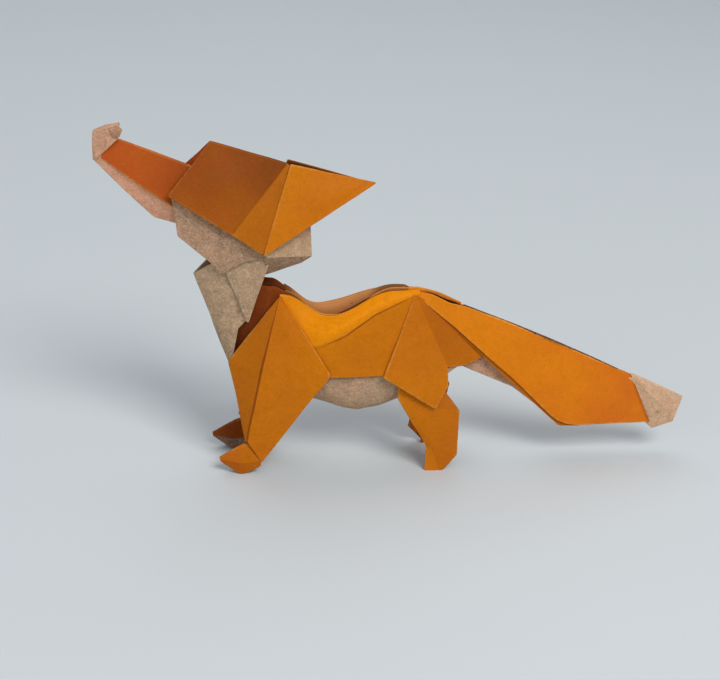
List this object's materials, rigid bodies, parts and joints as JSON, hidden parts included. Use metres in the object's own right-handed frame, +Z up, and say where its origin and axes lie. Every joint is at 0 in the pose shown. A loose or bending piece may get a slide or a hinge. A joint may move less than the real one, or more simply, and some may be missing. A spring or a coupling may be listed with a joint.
{
  "type": "paper fox figure",
  "caption": "Folded paper fox figure that stands on its feet, with a raised head, a long drooping tail and a pale belly, throat and tail tip.",
  "frame": {"origin": "on the ground, midway between nose tip and tail tip along X, in the middle plane of the fox", "axes": "+Z up, +X from nose to tail, -Y the fox's left side as it faces -X, which is the near side in the source"},
  "size_m": [0.1477, 0.02, 0.0877],
  "materials": {
    "paper": "matt two-coloured paper, orange outside and beige inside"
  },
  "bodies": {
    "root": {"folded_fox": "paper"}
  },
  "joints": []
}
